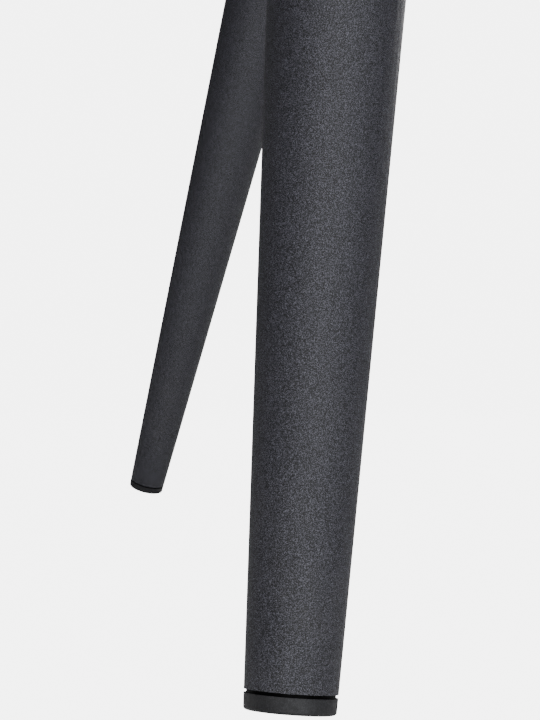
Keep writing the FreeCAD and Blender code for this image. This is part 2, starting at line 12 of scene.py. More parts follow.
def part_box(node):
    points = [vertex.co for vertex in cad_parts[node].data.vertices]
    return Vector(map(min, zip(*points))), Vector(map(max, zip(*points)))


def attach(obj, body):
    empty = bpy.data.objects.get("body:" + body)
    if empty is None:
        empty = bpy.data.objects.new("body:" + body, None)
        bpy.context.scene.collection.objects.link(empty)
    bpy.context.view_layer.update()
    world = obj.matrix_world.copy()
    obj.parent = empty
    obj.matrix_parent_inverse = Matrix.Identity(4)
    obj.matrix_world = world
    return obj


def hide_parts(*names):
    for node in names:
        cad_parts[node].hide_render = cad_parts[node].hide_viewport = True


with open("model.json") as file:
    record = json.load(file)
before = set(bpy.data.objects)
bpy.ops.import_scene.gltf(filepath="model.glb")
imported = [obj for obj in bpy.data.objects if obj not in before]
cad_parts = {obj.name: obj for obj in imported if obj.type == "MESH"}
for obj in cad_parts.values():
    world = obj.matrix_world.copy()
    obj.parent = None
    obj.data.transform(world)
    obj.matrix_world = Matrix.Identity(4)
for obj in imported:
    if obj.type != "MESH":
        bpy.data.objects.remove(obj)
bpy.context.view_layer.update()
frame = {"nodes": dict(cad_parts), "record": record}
NODES = frame["nodes"]
TAU = 2 * math.pi
MM = 0.001


# ---- Camera -------------------------------------------------------------------------------
def sole(leg):
    """The middle of a foot pad's sole, from the record's mounts."""
    for mount in frame["record"]["mounts"]:
        if mount["name"] == "sole_" + leg:
            return Vector(mount["pos_m"])


FRONT_SOLE = sole("front")
TIP_DIAMETER = 18 * MM         # the legs' width at the sole, which the camera's place is given in
CAMERA_HEADING = 21.2          # degrees that the camera looks left of straight back
CAMERA_DISTANCE = 13.85        # tip diameters from the front foot
CAMERA_ASIDE = 0.21            # the front foot stands this much right of the camera's middle
CAMERA_HEIGHT = 3.72
CAMERA_TILT = 0.47             # degrees up
CAMERA_LENS = 65.0


def make_camera():
    heading = math.radians(CAMERA_HEADING)
    tilt = math.radians(CAMERA_TILT)
    right = Vector((math.cos(heading), math.sin(heading), 0))
    ahead = Vector((-math.sin(heading), math.cos(heading), 0))
    place = Vector((FRONT_SOLE.x, FRONT_SOLE.y, 0))
    place -= (right * CAMERA_ASIDE + ahead * CAMERA_DISTANCE) * TIP_DIAMETER
    place.z = CAMERA_HEIGHT * TIP_DIAMETER
    data = bpy.data.cameras.new("view")
    data.sensor_width = 36
    data.lens = CAMERA_LENS
    data.clip_start = 0.01
    camera = bpy.data.objects.new("view", data)
    bpy.context.scene.collection.objects.link(camera)
    aim = ahead * math.cos(tilt) + Vector((0, 0, math.sin(tilt)))
    camera.location = place
    camera.rotation_euler = aim.to_track_quat("-Z", "Y").to_euler()
    bpy.context.scene.camera = camera
    return right, ahead


CAMERA_RIGHT, CAMERA_AHEAD = make_camera()


# ---- Node helpers ---------------------------------------------------------------------------
class Graph:
    """Adds and joins nodes in one material or node group."""

    def __init__(self, tree):
        self.tree = tree

    def add(self, kind, **inputs):
        node = self.tree.nodes.new("ShaderNode" + kind)
        for key, value in inputs.items():
            self.feed(node, key.replace("_", " "), value)
        return node

    def feed(self, node, key, value):
        socket = node.inputs[int(key)] if key.isdigit() else node.inputs[key]
        if isinstance(value, bpy.types.NodeSocket):
            self.tree.links.new(value, socket)
        else:
            socket.default_value = value

    def math(self, operation, a, b=0.0, clamp=False):
        node = self.tree.nodes.new("ShaderNodeMath")
        node.operation = operation
        node.use_clamp = clamp
        self.feed(node, "0", a)
        self.feed(node, "1", b)
        return node.outputs[0]

    def mix(self, factor, a, b, blend="MIX"):
        node = self.tree.nodes.new("ShaderNodeMix")
        node.data_type = "RGBA"
        node.blend_type = blend
        for index, value in ((0, factor), (6, a), (7, b)):
            self.feed(node, str(index), value)
        return node.outputs[2]

    def span(self, value, low, high, out_low=0.0, out_high=1.0, smooth=False):
        """Maps a value from one range onto another, held at both ends."""
        node = self.tree.nodes.new("ShaderNodeMapRange")
        node.interpolation_type = "SMOOTHSTEP" if smooth else "LINEAR"
        for index, v in enumerate((value, low, high, out_low, out_high)):
            self.feed(node, str(index), v)
        return node.outputs[0]

    def noise(self, vector, scale, detail=2.0, roughness=0.5, distortion=0.0):
        node = self.add("TexNoise", Vector=vector, Scale=scale, Detail=detail)
        node.inputs["Roughness"].default_value = roughness
        node.inputs["Distortion"].default_value = distortion
        return node.outputs["Fac"]

    def split(self, vector):
        node = self.add("SeparateXYZ", Vector=vector)
        return node.outputs

    def place(self):
        """Where on the object a point is, in metres."""
        return self.add("TexCoord").outputs["Object"]

    def group(self, tree, **inputs):
        node = self.tree.nodes.new("ShaderNodeGroup")
        node.node_tree = tree
        for key, value in inputs.items():
            self.feed(node, key.replace("_", " "), value)
        return node.outputs


def new_group(name, inputs, outputs):
    """A shader node group with named sockets. Returns its tree, its graph, and its two end nodes."""
    tree = bpy.data.node_groups.new(name, "ShaderNodeTree")
    kinds = {"value": "NodeSocketFloat", "color": "NodeSocketColor", "vector": "NodeSocketVector"}
    for label, kind, default in inputs:
        socket = tree.interface.new_socket(name=label, in_out="INPUT", socket_type=kinds[kind])
        if default is not None:
            socket.default_value = default
    for label, kind in outputs:
        tree.interface.new_socket(name=label, in_out="OUTPUT", socket_type=kinds[kind])
    return tree, Graph(tree), tree.nodes.new("NodeGroupInput").outputs, tree.nodes.new("NodeGroupOutput")


def new_material(name):
    material = bpy.data.materials.new(name)
    material.use_nodes = True
    material.node_tree.nodes.clear()
    graph = Graph(material.node_tree)
    shader = graph.add("BsdfPrincipled")
    output = graph.add("OutputMaterial")
    material.node_tree.links.new(shader.outputs[0], output.inputs[0])
    return material, graph, shader


def bump(graph, height, depth, strength=1.0):
    """A normal from a height of 0 to 1, as deep as given, in metres."""
    node = graph.add("Bump", Height=height)
    node.inputs["Distance"].default_value = depth
    node.inputs["Strength"].default_value = strength
    return node.outputs[0]


def rgb(r, g, b):
    return (r, g, b, 1.0)


# ---- Shared effects ---------------------------------------------------------------------------
def powder_grain_group():
    """Fine-texture powder coat: sharp little grains over a slow change of tone, with painted glints on the
    grains' peaks and painted shade in the hollows between them.
    """
    tree, g, given, out = new_group(
        "powder grain",
        [("Tone", "color", rgb(0.03, 0.03, 0.033)), ("Tip", "color", rgb(0.2, 0.2, 0.22)),
         ("Grain", "value", 2600.0), ("Tips", "value", 0.6)],
        [("Color", "color"), ("Roughness", "value"), ("Height", "value")],
    )
    where = g.place()
    fine = g.noise(where, given["Grain"], 1.0, 0.5)
    coarse = g.noise(where, g.math("MULTIPLY", given["Grain"], 0.3), 2.0, 0.5)
    height = g.math("ADD", g.math("MULTIPLY", fine, 0.95), g.math("MULTIPLY", coarse, 0.05))
    slow = g.noise(where, 9.0, 2.0, 0.5)
    tone = g.mix(g.span(slow, 0.3, 0.7, 0.0, 0.35), given["Tone"], rgb(0.0, 0.0, 0.0))
    # Painted glint: the grains' peaks are drawn paler, in a bluish tint, where a lamp's highlight would fall
    # on them.
    glints = g.math("MULTIPLY", g.span(height, 0.52, 0.6, 0.0, 1.0, smooth=True), given["Tips"])
    # Painted shade: the hollows between grains are drawn nearly black.
    pit_shade = g.span(height, 0.36, 0.47, 0.7, 0.0, smooth=True)
    color = g.mix(glints, tone, given["Tip"])
    color = g.mix(pit_shade, color, rgb(0.004, 0.004, 0.005))
    g.feed(out, "Color", color)
    g.feed(out, "Roughness", g.span(fine, 0.3, 0.7, 0.62, 0.46))
    g.feed(out, "Height", height)
    return tree


def scuff_group():
    """Thin rubbed lines and dusty smears that fade out above a level."""
    tree, g, given, out = new_group(
        "floor scuffs",
        [("Level", "value", 0.07), ("Amount", "value", 0.5)],
        [("Mask", "value"), ("Dust", "value")],
    )
    where = g.place()
    height = g.split(where)["Z"]
    near = g.math("SUBTRACT", 1.0, g.math("DIVIDE", height, given["Level"]), clamp=True)
    stretched = g.add("Mapping", Vector=where)
    stretched.inputs["Scale"].default_value = (260, 260, 2600)
    stretched.inputs["Rotation"].default_value = (0.35, 0.2, 0)
    lines = g.noise(stretched.outputs[0], 1.0, 2.0, 0.6, 0.6)
    lines = g.span(lines, 0.66, 0.72, smooth=True)
    patches = g.span(g.noise(where, 130.0, 3.0, 0.6), 0.52, 0.64, smooth=True)
    mask = g.math("MULTIPLY", g.math("MULTIPLY", lines, patches), near)
    g.feed(out, "Mask", g.math("MULTIPLY", mask, given["Amount"]))
    dust = g.span(g.noise(where, 55.0, 4.0, 0.65), 0.42, 0.8, smooth=True)
    g.feed(out, "Dust", g.math("MULTIPLY", g.math("MULTIPLY", dust, near), given["Amount"]))
    return tree


def worn_metal_group():
    """Blotches, fine scratches and handling marks on a metal fastener or plate."""
    tree, g, given, out = new_group(
        "worn metal",
        [("Tone", "color", rgb(0.6, 0.6, 0.58)), ("Stain", "color", rgb(0.3, 0.28, 0.25)),
         ("Scale", "value", 300.0), ("Smooth", "value", 0.28), ("Rough", "value", 0.5),
         ("Spangle", "value", 0.18)],
        [("Color", "color"), ("Roughness", "value"), ("Height", "value")],
    )
    where = g.place()
    spangle = g.add("TexVoronoi", Vector=where, Scale=given["Scale"]).outputs["Color"]
    facets = g.split(spangle)["X"]
    blotch = g.noise(where, g.math("MULTIPLY", given["Scale"], 0.3), 4.0, 0.6)
    stretched = g.add("Mapping", Vector=where)
    stretched.inputs["Scale"].default_value = (400, 7000, 7000)
    scratch = g.span(g.noise(stretched.outputs[0], 1.0, 2.0, 0.5), 0.62, 0.7, smooth=True)
    stain = g.math("MULTIPLY", g.span(blotch, 0.48, 0.75, smooth=True), 0.55)
    color = g.mix(stain, given["Tone"], given["Stain"])
    color = g.mix(g.math("MULTIPLY", facets, given["Spangle"]), color, rgb(0.9, 0.9, 0.9))
    rough = g.span(blotch, 0.35, 0.7, given["Smooth"], given["Rough"])
    g.feed(out, "Color", color)
    g.feed(out, "Roughness", g.math("ADD", rough, g.math("MULTIPLY", scratch, 0.12)))
    g.feed(out, "Height", g.math("SUBTRACT", g.math("MULTIPLY", facets, given["Spangle"]), scratch))
    return tree


def canvas_weave_group():
    """Plain weave from two coordinates measured in metres along the cloth, with painted shade in the low
    places between the yarns.
    """
    tree, g, given, out = new_group(
        "canvas weave",
        [("Across", "value", None), ("Along", "value", None), ("Thread", "value", 0.0009),
         ("Yarn", "color", rgb(0.1, 0.1, 0.06)), ("Gap", "color", rgb(0.02, 0.02, 0.01)),
         ("Fade", "color", rgb(0.2, 0.2, 0.13))],
        [("Color", "color"), ("Roughness", "value"), ("Height", "value")],
    )
    where = g.place()
    wobble = g.math("MULTIPLY", g.math("SUBTRACT", g.noise(where, 160.0, 2.0), 0.5), 0.0009)
    u = g.math("DIVIDE", g.math("ADD", given["Across"], wobble), given["Thread"])
    v = g.math("DIVIDE", g.math("SUBTRACT", given["Along"], wobble), given["Thread"])
    su = g.math("SINE", g.math("MULTIPLY", u, math.pi))
    sv = g.math("SINE", g.math("MULTIPLY", v, math.pi))
    hump_u = g.math("ABSOLUTE", su)
    hump_v = g.math("ABSOLUTE", sv)
    cell = g.math("ADD", g.math("FLOOR", u), g.math("FLOOR", v))
    over = g.math("GREATER_THAN", g.math("FLOORED_MODULO", cell, 2.0), 0.5)
    warp = g.math("MULTIPLY", hump_u, g.math("ADD", 0.45, g.math("MULTIPLY", hump_v, 0.55)))
    weft = g.math("MULTIPLY", hump_v, g.math("ADD", 0.45, g.math("MULTIPLY", hump_u, 0.55)))
    height = g.mix(over, warp, weft)
    height = g.split(height)["X"]
    slub_u = g.noise(g.add("CombineXYZ", X=g.math("FLOOR", u), Y=g.math("MULTIPLY", v, 0.08)).outputs[0], 0.7)
    slub_v = g.noise(g.add("CombineXYZ", X=g.math("MULTIPLY", u, 0.08), Y=g.math("FLOOR", v)).outputs[0], 0.7)
    slub = g.math("ADD", slub_u, slub_v)
    tone = g.mix(g.span(slub, 0.75, 1.25, 0.0, 0.7), given["Yarn"], given["Fade"])
    worn = g.span(g.noise(where, 14.0, 4.0, 0.6), 0.45, 0.8, 0.0, 0.55, smooth=True)
    tone = g.mix(worn, tone, given["Fade"])
    # Painted shade: the low places between the yarns are drawn dark.
    color = g.mix(g.span(height, 0.12, 0.6, smooth=True), given["Gap"], tone)
    g.feed(out, "Color", color)
    g.feed(out, "Roughness", g.span(height, 0.0, 1.0, 0.95, 0.78))
    g.feed(out, "Height", height)
    return tree


POWDER_GRAIN = powder_grain_group()
SCUFFS = scuff_group()
WORN_METAL = worn_metal_group()
CANVAS_WEAVE = canvas_weave_group()


# ---- Materials ----------------------------------------------------------------------------------
def powder_coat(name, tone, glint, grain, glints, depth, scuffed):
    material, g, shader = new_material(name)
    coat = g.group(POWDER_GRAIN, Tone=tone, Tip=glint, Grain=grain, Tips=glints)
    color = coat["Color"]
    rough = coat["Roughness"]
    if scuffed:
        scuff = g.group(SCUFFS, Level=0.08, Amount=0.5)
        color = g.mix(scuff["Mask"], color, rgb(0.2, 0.2, 0.2))
        color = g.mix(g.math("MULTIPLY", scuff["Dust"], 0.12), color, rgb(0.32, 0.3, 0.27))
        rough = g.math("ADD", rough, g.math("MULTIPLY", scuff["Dust"], 0.15))
    g.feed(shader, "Base Color", color)
    g.feed(shader, "Roughness", rough)
    g.feed(shader, "Normal", bump(g, coat["Height"], depth, 0.8))
    shader.inputs["Specular IOR Level"].default_value = 0.5
    return material


def pad_moulding():
    """Moulded pad with a fine spark finish whose raised peaks carry painted glints, dusty and rubbed at the
    rim.
    """
    material, g, shader = new_material("moulded pad")
    where = g.place()
    spark = g.noise(where, 5200.0, 2.0, 0.6)
    coarse = g.noise(where, 900.0, 2.0, 0.5)
    scuff = g.group(SCUFFS, Level=0.012, Amount=0.8)
    # Painted glint: the finish's raised peaks are drawn paler and slightly bluish, as a highlight on them
    # would look.
    color = g.mix(g.span(spark, 0.45, 0.75, 0.0, 0.6), rgb(0.007, 0.007, 0.0085), rgb(0.06, 0.06, 0.07))
    color = g.mix(g.span(coarse, 0.4, 0.7, 0.0, 0.3), color, rgb(0.006, 0.006, 0.006))
    color = g.mix(g.math("MULTIPLY", scuff["Dust"], 0.2), color, rgb(0.25, 0.24, 0.22))
    g.feed(shader, "Base Color", color)
    g.feed(shader, "Roughness", g.span(coarse, 0.3, 0.7, 0.5, 0.68))
    g.feed(shader, "Normal", bump(g, spark, 0.00003, 0.7))
    return material


def metal(name, tone, stain, scale, smooth, rough, depth, spangle):
    material, g, shader = new_material(name)
    worn = g.group(
        WORN_METAL, Tone=tone, Stain=stain, Scale=scale, Smooth=smooth, Rough=rough, Spangle=spangle
    )
    g.feed(shader, "Base Color", worn["Color"])
    g.feed(shader, "Roughness", worn["Roughness"])
    g.feed(shader, "Normal", bump(g, worn["Height"], depth, 0.5))
    shader.inputs["Metallic"].default_value = 1.0
    return material


def moulded(name, tone, shade, scale, gloss):
    material, g, shader = new_material(name)
    where = g.place()
    cloud = g.noise(where, scale, 3.0, 0.55)
    fine = g.noise(where, scale * 24, 2.0, 0.6)
    g.feed(shader, "Base Color", g.mix(g.span(cloud, 0.35, 0.7), tone, shade))
    g.feed(shader, "Roughness", g.span(fine, 0.3, 0.7, 0.4, 0.58))
    g.feed(shader, "Normal", bump(g, fine, 0.00002, 0.5))
    shader.inputs["Specular IOR Level"].default_value = gloss
    return material


def plywood():
    """Birch face veneer with grain along X, and its plies where the edge shows."""
    material, g, shader = new_material("birch plywood")
    where = g.place()
    drawn = g.add("Mapping", Vector=where)
    drawn.inputs["Scale"].default_value = (6, 90, 90)
    grain = g.noise(drawn.outputs[0], 1.0, 5.0, 0.62, 1.4)
    pores = g.add("Mapping", Vector=where)
    pores.inputs["Scale"].default_value = (120, 2600, 2600)
    pore = g.span(g.noise(pores.outputs[0], 1.0, 2.0, 0.5), 0.6, 0.72, smooth=True)
    plies = g.math("SINE", g.math("MULTIPLY", g.split(where)["Z"], TAU / (3 * MM)))
    color = g.mix(g.span(grain, 0.3, 0.7), rgb(0.5, 0.34, 0.2), rgb(0.72, 0.55, 0.36))
    color = g.mix(g.math("MULTIPLY", pore, 0.5), color, rgb(0.22, 0.12, 0.06))
    color = g.mix(g.span(plies, 0.4, 0.9, 0.0, 0.35), color, rgb(0.3, 0.19, 0.1))
    g.feed(shader, "Base Color", color)
    g.feed(shader, "Roughness", g.span(grain, 0.3, 0.7, 0.7, 0.5))
    g.feed(shader, "Normal", bump(g, g.math("SUBTRACT", grain, pore), 0.0001, 0.5))
    return material


def felt():
    """Bonded black felt: short crossed fibres, a pressed dimple pattern and pale lint."""
    material, g, shader = new_material("bonded felt")
    where = g.place()
    fibre_a = g.add("Mapping", Vector=where)
    fibre_a.inputs["Scale"].default_value = (700, 4200, 1)
    fibre_b = g.add("Mapping", Vector=where)
    fibre_b.inputs["Scale"].default_value = (4200, 700, 1)
    fibres = g.math("MAXIMUM", g.noise(fibre_a.outputs[0], 1.0, 2.0), g.noise(fibre_b.outputs[0], 1.0, 2.0))
    dimple = g.add("TexVoronoi", Vector=where, Scale=520.0).outputs["Distance"]
    lint = g.span(g.noise(where, 900.0, 2.0, 0.7, 2.0), 0.7, 0.76, smooth=True)
    color = g.mix(g.span(fibres, 0.5, 0.75), rgb(0.008, 0.008, 0.008), rgb(0.04, 0.04, 0.042))
    color = g.mix(g.math("MULTIPLY", lint, 0.4), color, rgb(0.25, 0.25, 0.24))
    g.feed(shader, "Base Color", color)
    g.feed(shader, "Roughness", g.span(fibres, 0.4, 0.7, 0.98, 0.85))
    g.feed(shader, "Normal", bump(g, g.math("ADD", fibres, g.math("MULTIPLY", dimple, 0.8)), 0.0002, 0.7))
    return material


SWIVEL_LOW, SWIVEL_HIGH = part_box("swivel_lower_plate")
SWIVEL_X = (SWIVEL_LOW.x + SWIVEL_HIGH.x) / 2
SWIVEL_Y = (SWIVEL_LOW.y + SWIVEL_HIGH.y) / 2
BOARD_LOW, BOARD_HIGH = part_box("seat_board")
BOARD_RADIUS = (BOARD_HIGH.x - BOARD_LOW.x) / 2
FOAM_LOW, FOAM_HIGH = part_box("seat_foam")
WELT_LOW, WELT_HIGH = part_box("seat_welt")
WELT_RADIUS = (WELT_HIGH.z - WELT_LOW.z) / 2
WELT_CIRCLE = (WELT_HIGH.x - WELT_LOW.x) / 2 - WELT_RADIUS
WELT_LEVEL = (WELT_HIGH.z + WELT_LOW.z) / 2


def on_circle(r, a, z):
    """A point at a radius, angle and level round the swivel axis."""
    return (SWIVEL_X + r * math.cos(a), SWIVEL_Y + r * math.sin(a), z)


def from_axis(spot):
    return math.hypot(spot.x - SWIVEL_X, spot.y - SWIVEL_Y)


CANVAS_YARN = 0.75 * MM
YARN = rgb(0.105, 0.108, 0.055)
# Painted shade for the low places between the yarns.
YARN_GAP_SHADE = rgb(0.035, 0.036, 0.018)
YARN_FADE = rgb(0.15, 0.149, 0.085)


def canvas_top():
    material, g, shader = new_material("canvas top")
    x, y = g.split(g.place())[0:2]
    weave = g.group(
        CANVAS_WEAVE, Across=x, Along=y, Thread=CANVAS_YARN, Yarn=YARN, Gap=YARN_GAP_SHADE, Fade=YARN_FADE
    )
    finish_cloth(g, shader, weave)
    return material


def round_coordinates(g, radius):
    """Distance round the swivel axis, and the level."""
    x, y, z = g.split(g.place())[0:3]
    angle = g.math("ARCTAN2", g.math("SUBTRACT", y, SWIVEL_Y), g.math("SUBTRACT", x, SWIVEL_X))
    return g.math("MULTIPLY", angle, radius), z


def canvas_band():
    material, g, shader = new_material("canvas band")
    around, level = round_coordinates(g, BOARD_RADIUS)
    weave = g.group(
        CANVAS_WEAVE, Across=around, Along=level, Thread=CANVAS_YARN, Yarn=YARN, Gap=YARN_GAP_SHADE, Fade=YARN_FADE
    )
    finish_cloth(g, shader, weave)
    return material


def finish_cloth(g, shader, weave):
    g.feed(shader, "Base Color", weave["Color"])
    g.feed(shader, "Roughness", weave["Roughness"])
    g.feed(shader, "Normal", bump(g, weave["Height"], 0.00014, 0.7))
    shader.inputs["Sheen Weight"].default_value = 0.18
    shader.inputs["Sheen Roughness"].default_value = 0.5


def welt_canvas():
    """The cord's bias-cut cover: the same weave, turned to run round the cord aslant."""
    material, g, shader = new_material("welt canvas")
    around, level = round_coordinates(g, WELT_CIRCLE)
    aslant = g.math("ADD", around, level)
    across = g.math("SUBTRACT", around, level)
    darker = rgb(0.07, 0.072, 0.038)
    weave = g.group(
        CANVAS_WEAVE, Across=aslant, Along=across, Thread=CANVAS_YARN, Yarn=darker, Gap=YARN_GAP_SHADE, Fade=YARN
    )
    finish_cloth(g, shader, weave)
    return material


def stitch_thread():
    material, g, shader = new_material("bonded thread")
    where = g.place()
    ply = g.noise(where, 2600.0, 2.0, 0.5, 1.0)
    g.feed(shader, "Base Color", g.mix(g.span(ply, 0.35, 0.65), rgb(0.24, 0.225, 0.13), rgb(0.42, 0.4, 0.26)))
    g.feed(shader, "Roughness", g.span(ply, 0.3, 0.7, 0.5, 0.75))
    g.feed(shader, "Normal", bump(g, ply, 0.00008, 0.6))
    return material


# The second colour in each coat is the painted glint on the grains' peaks.
LEG_COAT = powder_coat(
    "leg powder coat", rgb(0.0055, 0.0053, 0.0068), rgb(0.126, 0.125, 0.154), 6400.0, 1.0, 0.00014, True
)
HUB_COAT = powder_coat(
    "hub powder coat", rgb(0.0055, 0.0053, 0.0068), rgb(0.124, 0.123, 0.151), 6400.0, 1.0, 0.00014, False
)
PAD = pad_moulding()
ZINC = metal("zinc plate", rgb(0.62, 0.62, 0.6), rgb(0.36, 0.35, 0.32), 420.0, 0.26, 0.48, 0.00003, 0.1)
BLACK_OXIDE = metal(
    "black oxide", rgb(0.05, 0.05, 0.052), rgb(0.03, 0.025, 0.02), 500.0, 0.32, 0.55, 0.00002, 0.015
)
GALVANISED = metal(
    "galvanised plate", rgb(0.5, 0.5, 0.51), rgb(0.32, 0.32, 0.32), 160.0, 0.3, 0.5, 0.00003, 0.18
)
BARE_STEEL = metal(
    "bare steel", rgb(0.4, 0.39, 0.38), rgb(0.2, 0.14, 0.1), 260.0, 0.35, 0.6, 0.00003, 0.05
)
BALL_STEEL = metal(
    "ball steel", rgb(0.8, 0.8, 0.8), rgb(0.6, 0.6, 0.58), 600.0, 0.06, 0.16, 0.000005, 0.02
)
BRASS = metal(
    "turned brass", rgb(0.72, 0.53, 0.25), rgb(0.42, 0.28, 0.13), 400.0, 0.22, 0.42, 0.00002, 0.05
)
NYLON = moulded("black nylon", rgb(0.0015, 0.0015, 0.0015), rgb(0.003, 0.003, 0.003), 120.0, 0.04)
ACETAL = moulded("natural acetal", rgb(0.72, 0.7, 0.62), rgb(0.62, 0.58, 0.48), 120.0, 0.5)
PLYWOOD = plywood()
FELT = felt()
CANVAS_TOP = canvas_top()
CANVAS_BAND = canvas_band()
WELT_CANVAS = welt_canvas()
THREAD = stitch_thread()

FINISH = {
    "leg_": LEG_COAT, "angled_mount": HUB_COAT, "hub_plate": HUB_COAT, "end_plate": BARE_STEEL,
    "foot_pad": PAD, "foot_plug": NYLON, "foot_stud": ZINC, "foot_nut": BRASS,
    "leg_bolt_": BLACK_OXIDE, "leg_bolt_washers": ZINC, "mount_screws": BLACK_OXIDE,
    "swivel_lower_plate": GALVANISED, "swivel_upper_plate": GALVANISED, "swivel_lower_nuts": ZINC,
    "swivel_lower_screws": BLACK_OXIDE, "swivel_upper_screws": BLACK_OXIDE, "swivel_balls": BALL_STEEL,
    "swivel_bush": ACETAL, "ball_cage": ACETAL, "kingpin": BLACK_OXIDE, "circlip": BLACK_OXIDE,
    "thrust_washer": ZINC, "tee_nuts": ZINC, "seat_board": PLYWOOD, "staples": ZINC,
}


def finish_cad_pieces():
    """Each carried-over CAD node takes the finish whose name its own name starts with; the longest wins."""
    for name, node in NODES.items():
        keys = [key for key in FINISH if name.startswith(key)]
        if keys:
            node.data.materials.clear()
            node.data.materials.append(FINISH[max(keys, key=len)])


finish_cad_pieces()


# ---- Upholstery ---------------------------------------------------------------------------------
LIP_WIDTH = 26 * MM
LIP_DROP = 1.0 * MM            # of the turned-in lip below the board
LIP_DEPTH = 4 * MM             # cloth lower than this above the board's underside lies under the board
LIP_LEVEL = BOARD_LOW.z - LIP_DROP
FOAM_SHOULDER = 15 * MM
FOAM_BULGE = (FOAM_HIGH.x - FOAM_LOW.x) / 2 - BOARD_RADIUS
FOAM_SIDE = 50 * MM            # the foam's height where its crown begins
SHOULDER_LEVEL = BOARD_HIGH.z + FOAM_SIDE
COVER_SLACK = 0.4 * MM         # of the cover's side outside the board's rim
CORNER_TURN = 2.5 * MM         # the cover leaves the underside this far inside the board's rim
CORNER_MIDDLE = (0.3 * MM, 1.2 * MM)   # inside the rim and above the lip
BAND_MARGIN = 3 * MM           # the cover lies along the board's rim to this near the rim's two edges
BAND_DEPTH = 4 * MM            # the band's cloth reaches this far inside the board's rim
SIDE_SWELL = 0.55              # of the foam's bulge, before the cover is blown up
CROWN_SHARE = 0.92             # of the foam's crown, before the cover is blown up


def new_object(name, verts, faces, material):
    mesh = bpy.data.meshes.new(name)
    mesh.from_pydata([tuple(v) for v in verts], [], faces)
    mesh.materials.append(material)
    mesh.update()
    obj = bpy.data.objects.new(name, mesh)
    bpy.context.scene.collection.objects.link(obj)
    return obj


def smooth(obj):
    for polygon in obj.data.polygons:
        polygon.use_smooth = True
    obj.data.update()
    return obj


def apply_modifiers(obj):
    bpy.context.view_layer.update()
    made = bpy.data.meshes.new_from_object(obj.evaluated_get(bpy.context.evaluated_depsgraph_get()))
    obj.modifiers.clear()
    old = obj.data
    obj.data = made
    bpy.data.meshes.remove(old)
    return obj


def tube_faces(rings, sides, closed):
    """Quads between neighbouring rings of points. A closed tube joins its last ring to its first."""
    faces = []
    for i in range(rings if closed else rings - 1):
        j = (i + 1) % rings
        for k in range(sides):
            m = (k + 1) % sides
            faces.append((i * sides + k, j * sides + k, j * sides + m, i * sides + m))
    return faces


def cushion_profile():
    """Radius and level points of the padded form, from the middle of its underside to its crown."""
    side_steps, turn_steps, crown_steps = 8, 6, 12
    points = [(0, LIP_LEVEL), (BOARD_RADIUS * 0.5, LIP_LEVEL), (BOARD_RADIUS - CORNER_TURN, LIP_LEVEL)]
    points.append((BOARD_RADIUS - CORNER_MIDDLE[0], LIP_LEVEL + CORNER_MIDDLE[1]))
    points.append((BOARD_RADIUS + COVER_SLACK, BOARD_LOW.z + BAND_MARGIN))
    side_low, side_high = BOARD_HIGH.z - BAND_MARGIN, SHOULDER_LEVEL - FOAM_SHOULDER
    for i in range(side_steps + 1):
        t = i / side_steps
        out = math.sin(math.pi * min(t * 1.05, 1.0)) * FOAM_BULGE * SIDE_SWELL
        points.append((BOARD_RADIUS + COVER_SLACK + out, side_low + (side_high - side_low) * t))
    for i in range(1, turn_steps + 1):
        turn = math.radians(90 * i / turn_steps)
        points.append((BOARD_RADIUS - FOAM_SHOULDER + FOAM_SHOULDER * math.cos(turn),
                       side_high + FOAM_SHOULDER * math.sin(turn)))
    rim = points[-1][0]
    crown = FOAM_HIGH.z - SHOULDER_LEVEL
    for i in range(1, crown_steps + 1):
        r = rim * (1 - i / crown_steps)
        points.append((r, SHOULDER_LEVEL + crown * (1 - (r / rim) ** 2) * CROWN_SHARE))
    return points


def lathe(points, count):
    verts, faces = [], []
    for r, z in points:
        ring = max(r, 1e-6)
        verts += [on_circle(ring, TAU * i / count, z) for i in range(count)]
    for k in range(len(points) - 1):
        for i in range(count):
            j = (i + 1) % count
            faces.append((k * count + i, k * count + j, (k + 1) * count + j, (k + 1) * count + i))
    return verts, faces


LATHE_SIDES = 96
VOXEL = 4.5 * MM
SWELL_LIMIT = 6.5 * MM         # the furthest that the pressure may move the cloth
PRESSURE = 4.0
SETTLE_FRAMES = 20
SEAM_GRIP = 5 * MM             # cloth within this of the welt is held by the seam
BOARD_GRIP = 6 * MM            # cloth up to this far above the board's underside is held by the board


def seam_distance(points):
    """How far each point is from the welt seam's circle."""
    r = np.hypot(points[:, 0] - SWIVEL_X, points[:, 1] - SWIVEL_Y)
    return np.hypot(r - WELT_CIRCLE, points[:, 2] - WELT_LEVEL)


def coordinates(mesh):
    flat = np.empty(len(mesh.vertices) * 3, np.float32)
    mesh.vertices.foreach_get("co", flat)
    return flat.reshape(-1, 3).astype(float)


def set_coordinates(mesh, points):
    mesh.vertices.foreach_set("co", points.astype(np.float32).ravel())
    mesh.update()


